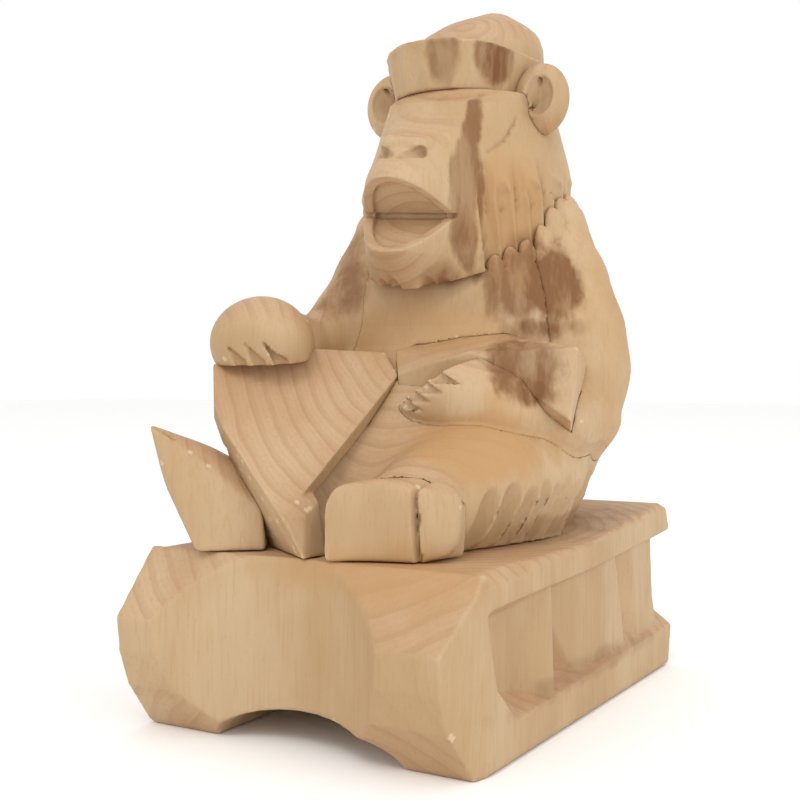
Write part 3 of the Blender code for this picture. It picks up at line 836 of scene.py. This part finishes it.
class Nodes:
    """Short ways to add shader nodes and wire them."""

    def __init__(self, material):
        self.tree = material.node_tree
        self.tree.nodes.clear()

    def node(self, kind, **settings):
        made = self.tree.nodes.new(kind)
        for name, value in settings.items():
            setattr(made, name, value)
        return made

    def link(self, value, socket):
        if isinstance(value, bpy.types.NodeSocket):
            self.tree.links.new(value, socket)
        else:
            socket.default_value = value

    def math(self, operation, a, b=0.0, c=0.0):
        made = self.node("ShaderNodeMath", operation=operation)
        for socket, value in zip(made.inputs, (a, b, c)):
            self.link(value, socket)
        return made.outputs[0]

    def vector(self, operation, a, b=(0, 0, 0)):
        made = self.node("ShaderNodeVectorMath", operation=operation)
        self.link(a, made.inputs[0])
        self.link(b, made.inputs[1])
        return made.outputs["Value" if operation in ("LENGTH", "DISTANCE", "DOT_PRODUCT") else "Vector"]

    def noise(self, at, scale, detail=2.0, roughness=0.5, stretch=(1, 1, 1)):
        made = self.node("ShaderNodeTexNoise")
        self.link(self.vector("MULTIPLY", at, stretch), made.inputs["Vector"])
        made.inputs["Scale"].default_value = scale
        made.inputs["Detail"].default_value = detail
        made.inputs["Roughness"].default_value = roughness
        return made.outputs["Fac"]

    def ramp(self, value, low, high, to_low=0.0, to_high=1.0):
        made = self.node("ShaderNodeMapRange", interpolation_type="SMOOTHSTEP")
        for socket, given in zip(made.inputs, (value, low, high, to_low, to_high)):
            self.link(given, socket)
        return made.outputs[0]

    def spots(self, at, entries, wander):
        """Soft ovals whose outlines wander, each the strongest of those that overlap."""
        total = 0.0
        for middle, radii, strength, core in entries:
            away = self.vector("DIVIDE", self.vector("SUBTRACT", at, middle), radii)
            far = self.math("ADD", self.vector("LENGTH", away), wander)
            spot = self.ramp(far, core, 1.0, strength, 0.0)
            total = self.math("MAXIMUM", spot, total)
        return total

    def mix(self, share, a, b):
        made = self.node("ShaderNodeMix", data_type="RGBA")
        self.link(share, made.inputs[0])
        self.link(a, made.inputs[6])
        self.link(b, made.inputs[7])
        return made.outputs[2]


def colour(red, green, blue):
    """A colour as a picture shows it, in the linear values that shaders use."""
    return tuple((value / 255) ** 2.2 for value in (red, green, blue)) + (1.0,)


# Brown heartwood, and a few spots of painted shade in crevices. An entry is (middle, radii, strength, share of
# the radii at which it begins to fade).
HEARTWOOD_AND_PAINTED_SHADE = (
    ((22, -4, 89), (13, 14, 12), 0.85, 0.6),
    ((27, 0, 92), (8, 12, 19), 0.95, 0.65),
    ((27, -2, 79.5), (13, 12, 4.5), 1.0, 0.4),
    ((25, -10, 71), (10, 8, 10), 0.9, 0.6),
    ((26.5, -11, 66), (8, 5, 4.5), 1.0, 0.5),
    ((13, -7, 86), (11, 8, 7), 0.45, 0.3),
    ((-22, -2, 90), (9, 13, 12), 0.8, 0.3),
    ((-24, 2, 99), (8, 12, 9), 0.6, 0.3),
    ((11.8, -9, 106), (2.3, 15, 27), 0.85, 0.7),
    # Painted shadow under the throat's hair points, where they hang over the chest.
    ((7, -8, 90), (5, 8, 5), 0.8, 0.3),
    ((14.2, 0, 138), (4.6, 7, 7.5), 1.0, 0.6),
    ((5.6, -7.5, 137), (4.4, 5, 9), 0.7, 0.5),
    # Painted shade: a brown band along the foot of the body where it sits on the deck.
    ((30, 8, 38), (12, 42, 3.5), 0.4, 0.4),
    # Painted shade and dirt: the top of the recess's bottom lip along the sled's side is darkened.
    ((37, 0, 9.5), (4, 52, 3), 0.35, 0.4),
    ((20, 2, 97), (6, 9, 5), 0.5, 0.3),
    ((20.5, 8, 128), (5, 4, 6), 0.5, 0.4),
    ((-16, 7, 132), (5, 4, 6), 0.6, 0.4),
)
# Warmer, more orange areas, in the same terms.
WARM = (
    ((20, -14, 55), (22, 30, 10), 0.8, 0.5),
    ((20, -50, 33), (30, 14, 7), 0.6, 0.4),
    ((16, -8, 64), (20, 16, 9), 0.65, 0.4),
    ((20, -2, 102), (12, 14, 18), 0.65, 0.4),
    ((32, 22, 75), (12, 34, 40), 0.4, 0.4),
    ((0, -6, 78), (30, 14, 12), 0.5, 0.5),
)


PITH = (4.0, 6.0)
RING_SPACING = 3.3


def lime_wood():
    material = bpy.data.materials.new("lime_wood")
    material.use_nodes = True
    n = Nodes(material)
    place = n.node("ShaderNodeTexCoord").outputs["Object"]
    at = n.vector("MULTIPLY", place, (1 / MM,) * 3)
    at = n.vector("SUBTRACT", at, tuple(OFFSET))
    split = n.node("ShaderNodeSeparateXYZ")
    n.link(at, split.inputs[0])
    normal = n.node("ShaderNodeNewGeometry").outputs["Normal"]
    facing = n.node("ShaderNodeSeparateXYZ")
    n.link(normal, facing.inputs[0])
    end_grain = n.ramp(n.math("ABSOLUTE", facing.outputs[2]), 0.25, 0.8)
    # Growth rings round an upright pith, which wander a little.
    wander = n.noise(at, 0.035, 2, 0.5, (1, 1, 0.25))
    flat = n.vector("MULTIPLY", n.vector("SUBTRACT", at, (PITH[0], PITH[1], 0)), (1, 1, 0))
    radius = n.math("ADD", n.vector("LENGTH", flat), n.math("MULTIPLY", wander, 9.0))
    ring = n.math("FRACT", n.math("DIVIDE", radius, RING_SPACING))
    late = n.math("MULTIPLY", n.ramp(ring, 0.45, 0.93), n.ramp(ring, 0.93, 1.0, 1.0, 0.0))
    fine = n.math("FRACT", n.math("DIVIDE", radius, RING_SPACING / 3.3))
    late = n.math("ADD", n.math("MULTIPLY", late, 0.75), n.math("MULTIPLY", n.ramp(fine, 0.5, 1.0), 0.25))
    fibre = n.noise(at, 1.6, 3, 0.6, (1, 1, 0.05))
    fleck = n.noise(at, 3.5, 2, 0.6, (1, 1, 0.3))
    blotch = n.noise(at, 0.045, 3, 0.55, (1, 1, 0.5))
    pale = n.mix(n.ramp(blotch, 0.35, 0.65), colour(188, 161, 126), colour(177, 146, 108))
    tan = n.mix(n.ramp(blotch, 0.35, 0.65), colour(190, 159, 125), colour(180, 144, 108))
    base = n.mix(end_grain, pale, tan)
    ring_share = n.math("MULTIPLY", late, n.math("ADD", n.math("MULTIPLY", end_grain, 0.3), 0.06))
    base = n.mix(ring_share, base, colour(146, 104, 68))
    base = n.mix(n.ramp(fibre, 0.5, 0.72, 0.0, 0.25), base, colour(166, 126, 82))
    base = n.mix(n.ramp(fleck, 0.62, 0.75, 0.0, 0.25), base, colour(146, 102, 64))
    streak = n.noise(at, 0.16, 4, 0.62, (1, 1, 0.22))
    wild = n.math("MULTIPLY", n.math("SUBTRACT", n.noise(at, 0.11, 4, 0.6, (1, 1, 0.6)), 0.5), 1.5)
    base = n.mix(n.spots(at, WARM, wild), base, colour(178, 136, 90))
    # Heartwood stains and the painted shade spots both darken the wood towards brown.
    brown = n.math("MULTIPLY", n.spots(at, HEARTWOOD_AND_PAINTED_SHADE, wild), n.ramp(streak, 0.36, 0.58, 0.55, 1.0))
    base = n.mix(brown, base, colour(118, 78, 44))
    # Cut edges are pale and furry, and the hollows are darkened with painted shade.
    bend = n.node("ShaderNodeNewGeometry").outputs["Pointiness"]
    base = n.mix(n.ramp(bend, 0.52, 0.62, 0.0, 0.5), base, colour(222, 200, 168))
    # Painted shade: concave places darken towards brown.
    base = n.mix(n.ramp(bend, 0.40, 0.49, 0.65, 0.0), base, colour(128, 84, 50))
    shader = n.node("ShaderNodeBsdfPrincipled")
    n.link(base, shader.inputs["Base Color"])
    n.link(n.ramp(fibre, 0.3, 0.7, 0.56, 0.7), shader.inputs["Roughness"])
    shader.inputs["Specular IOR Level"].default_value = 0.35
    shader.inputs["Subsurface Weight"].default_value = 0.0
    relief = n.math("ADD", n.math("MULTIPLY", fibre, 0.6), n.math("MULTIPLY", fleck, 0.4))
    bump = n.node("ShaderNodeBump")
    bump.inputs["Strength"].default_value = 0.35
    bump.inputs["Distance"].default_value = 0.00012
    n.link(relief, bump.inputs["Height"])
    n.link(bump.outputs[0], shader.inputs["Normal"])
    out = n.node("ShaderNodeOutputMaterial")
    n.link(shader.outputs[0], out.inputs[0])
    return material


def beech_wood():
    material = bpy.data.materials.new("dowel_wood")
    material.use_nodes = True
    n = Nodes(material)
    place = n.node("ShaderNodeTexCoord").outputs["Object"]
    at = n.vector("MULTIPLY", place, (1 / MM,) * 3)
    fleck = n.noise(at, 1.2, 3, 0.6)
    shader = n.node("ShaderNodeBsdfPrincipled")
    n.link(n.mix(n.ramp(fleck, 0.4, 0.65), colour(214, 176, 132), colour(180, 132, 90)),
           shader.inputs["Base Color"])
    n.link(n.ramp(fleck, 0.3, 0.7, 0.5, 0.65), shader.inputs["Roughness"])
    out = n.node("ShaderNodeOutputMaterial")
    n.link(shader.outputs[0], out.inputs[0])
    return material


lime, beech = lime_wood(), beech_wood()
for node, clay in model().items():
    mesh = clay.mesh(node + "_carved")
    mesh.materials.append(lime)
    piece = bpy.data.objects.new(node + "_carved", mesh)
    bpy.context.scene.collection.objects.link(piece)
    if 2 * len(mesh.polygons) > MOST_TRIANGLES:
        thinning = piece.modifiers.new("thinning", "DECIMATE")
        thinning.ratio = MOST_TRIANGLES / (2 * len(mesh.polygons))
    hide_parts(node)
    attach(piece, "root")
for name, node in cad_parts.items():
    if "dowel" in name:
        for slot in node.material_slots:
            slot.material = beech


# ---------------------------------------------------------------- floor, light and camera


def plain_material(name, red, green, blue, roughness):
    material = bpy.data.materials.new(name)
    material.use_nodes = True
    shader = material.node_tree.nodes["Principled BSDF"]
    shader.inputs["Base Color"].default_value = colour(red, green, blue)
    shader.inputs["Roughness"].default_value = roughness
    return material


floor_mesh = bpy.data.meshes.new("floor")
floor_mesh.from_pydata([(-4, -4, 0), (4, -4, 0), (4, 4, 0), (-4, 4, 0)], [], [(0, 1, 2, 3)])
floor_mesh.materials.append(plain_material("floor", 252, 252, 251, 0.9))
floor = bpy.data.objects.new("floor", floor_mesh)
bpy.context.scene.collection.objects.link(floor)
floor.location.z = -0.0002


def softbox(name, place, target, size, power, tint=(1, 1, 1)):
    data = bpy.data.lights.new(name, "AREA")
    data.shape = "SQUARE"
    data.size = size
    data.energy = power
    data.color = tint
    lamp = bpy.data.objects.new(name, data)
    lamp.location = place
    lamp.rotation_euler = (Vector(target) - Vector(place)).to_track_quat("-Z", "Y").to_euler()
    bpy.context.scene.collection.objects.link(lamp)


AIM = (0, 0, 0.07)
softbox("key", (0.15, -0.75, 0.95), AIM, 0.4, 3.1, (1, 0.985, 0.96))
softbox("side", (0.9, -0.2, 0.4), AIM, 0.6, 1.7)
softbox("top", (0.1, 0.1, 1.1), AIM, 0.7, 0.3)
world = bpy.data.worlds.new("studio")
world.use_nodes = True
world.node_tree.nodes["Background"].inputs[0].default_value = (1, 1, 1, 1)
world.node_tree.nodes["Background"].inputs[1].default_value = 1.0
bpy.context.scene.world = world
bpy.context.scene.view_settings.view_transform = "Standard"

camera_data = bpy.data.cameras.new("camera")
camera_data.lens = 53.7
camera_data.sensor_width = 36
camera_data.clip_start = 0.01
camera = bpy.data.objects.new("camera", camera_data)
camera.location = (np.array((127.0, -231.0, 67.3)) + OFFSET) * MM
camera.rotation_euler = (math.radians(90 - 0.72), 0, math.radians(30.5))
bpy.context.scene.collection.objects.link(camera)
bpy.context.scene.camera = camera
